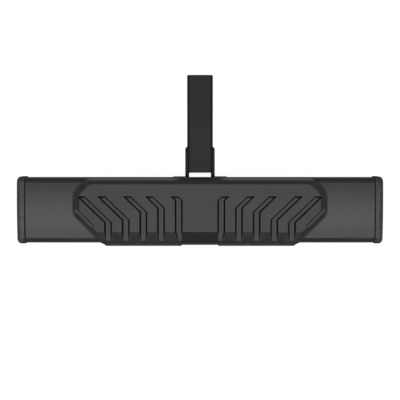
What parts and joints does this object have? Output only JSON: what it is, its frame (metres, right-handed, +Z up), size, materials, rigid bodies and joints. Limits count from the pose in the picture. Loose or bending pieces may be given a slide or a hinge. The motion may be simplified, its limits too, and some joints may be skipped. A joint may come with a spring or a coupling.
{
  "type": "hitch receiver step",
  "caption": "Wide flat bumper step with a moulded tread pad and end caps, bolted on folded plates under a square hitch shank that slides into a receiver.",
  "frame": {"origin": "Centre of the hitch pin hole, on the axis of the shank.", "axes": "+Y points along the shank into the receiver, +X runs along the step to the right of someone who stands behind the vehicle and faces it, and +Z is up."},
  "size_m": [0.709, 0.334, 0.1088],
  "materials": {
    "powder_coat": "satin powder coat",
    "shank_coat": "satin powder coat",
    "pad_plastic": "fine grain",
    "cap_plastic": "fine grain",
    "zinc": "zinc plated",
    "nylon": "natural"
  },
  "bodies": {
    "root": {"step_tube": "powder_coat", "step_pad": "pad_plastic", "end_cap_left": "cap_plastic", "end_cap_right": "cap_plastic", "shank_tube": "shank_coat", "side_plate_left": "powder_coat", "side_plate_right": "powder_coat", "top_weld_left": "powder_coat", "top_weld_right": "powder_coat", "bottom_weld_left": "powder_coat", "bottom_weld_right": "powder_coat", "end_weld_left": "powder_coat", "end_weld_right": "powder_coat", "flange_bolts": "zinc", "spring_washers": "zinc", "flat_washers": "zinc", "rivet_nuts": "zinc", "pad_clips": "nylon", "cap_screws": "zinc"}
  },
  "joints": []
}
